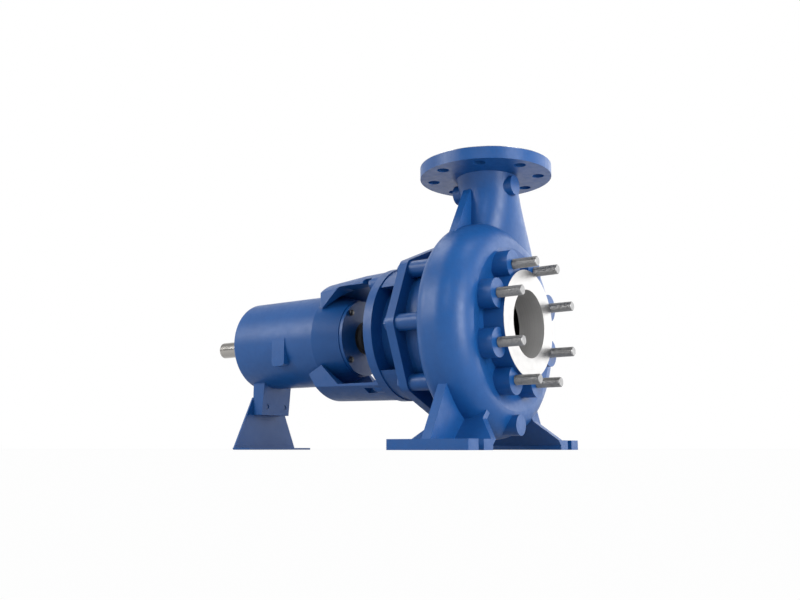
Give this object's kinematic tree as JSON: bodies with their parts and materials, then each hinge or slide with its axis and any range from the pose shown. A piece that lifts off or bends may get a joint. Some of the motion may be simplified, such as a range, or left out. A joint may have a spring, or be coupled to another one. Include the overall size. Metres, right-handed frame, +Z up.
{
  "type": "vortex centrifugal pump",
  "caption": "Horizontal end suction pump with a recessed vortex impeller, studded suction face, swan neck discharge flange, lantern bearing bracket and bare keyed shaft end.",
  "frame": {"origin": "on the floor under the shaft axis, half way between the stud tips and the shaft end", "axes": "+X along the shaft towards the suction side, +Y to the side of the pump that faces away in the picture, +Z up towards the discharge flange"},
  "size_m": [0.652, 0.346, 0.43],
  "materials": {
    "blue_paint": "satin enamel over cast iron; the suction face is machined bare",
    "dark_iron": "dark primed casting",
    "bare_steel": "bare turned steel",
    "polished_steel": "fine ground steel",
    "cast_grey": "bare casting",
    "cage_brass": "machined",
    "black_rubber": "matte",
    "gasket_fibre": "matte fibre sheet",
    "seal_ceramic": "lapped ceramic",
    "seal_carbon": "lapped carbon"
  },
  "bodies": {
    "pump_body": {"volute_casing": "blue_paint", "adapter": "blue_paint", "bearing_bracket": "blue_paint", "support_foot": "blue_paint", "casing_screws": "blue_paint", "bracket_screws": "blue_paint", "rear_bearing_cover": "blue_paint", "front_bearing_cover": "blue_paint", "casing_cover": "blue_paint", "rear_cover_screws": "blue_paint", "foot_bolts": "blue_paint", "seal_cover": "dark_iron", "suction_studs": "bare_steel", "front_cover_screws": "bare_steel", "seal_cover_screws": "bare_steel", "front_outer_race": "bare_steel", "rear_outer_race": "bare_steel", "front_lip_seal": "black_rubber", "rear_lip_seal": "black_rubber", "cover_gasket": "gasket_fibre", "seal_seat": "seal_ceramic"},
    "rotor": {"shaft": "polished_steel", "coupling_key": "bare_steel", "impeller_key": "bare_steel", "shaft_sleeve": "bare_steel", "impeller": "cast_grey", "impeller_screw": "bare_steel", "impeller_washer": "bare_steel", "seal_ring": "seal_carbon", "seal_bellows": "bare_steel", "seal_collar": "bare_steel", "front_inner_race": "bare_steel", "rear_inner_race": "bare_steel", "lock_washer": "bare_steel", "lock_nut": "bare_steel", "flinger": "black_rubber"},
    "roller_set": {"front_cage": "cage_brass", "front_rollers": "bare_steel"},
    "ball_set": {"rear_cage": "cage_brass", "rear_balls": "bare_steel"}
  },
  "joints": [
    {"name": "shaft_turn", "type": "hinge", "parent": "pump_body", "child": "rotor", "pos_m": [0, 0, 0.18], "axis": [1, 0, 0], "continuous": true},
    {"name": "front_cage_turn", "type": "hinge", "parent": "pump_body", "child": "roller_set", "pos_m": [-0.029, 0, 0.18], "axis": [1, 0, 0], "continuous": true},
    {"name": "rear_cage_turn", "type": "hinge", "parent": "pump_body", "child": "ball_set", "pos_m": [-0.192, 0, 0.18], "axis": [1, 0, 0], "continuous": true}
  ],
  "couplings": [
    {"joint": "front_cage_turn", "follows": "shaft_turn", "ratio": 0.4154},
    {"joint": "rear_cage_turn", "follows": "shaft_turn", "ratio": 0.3835}
  ]
}
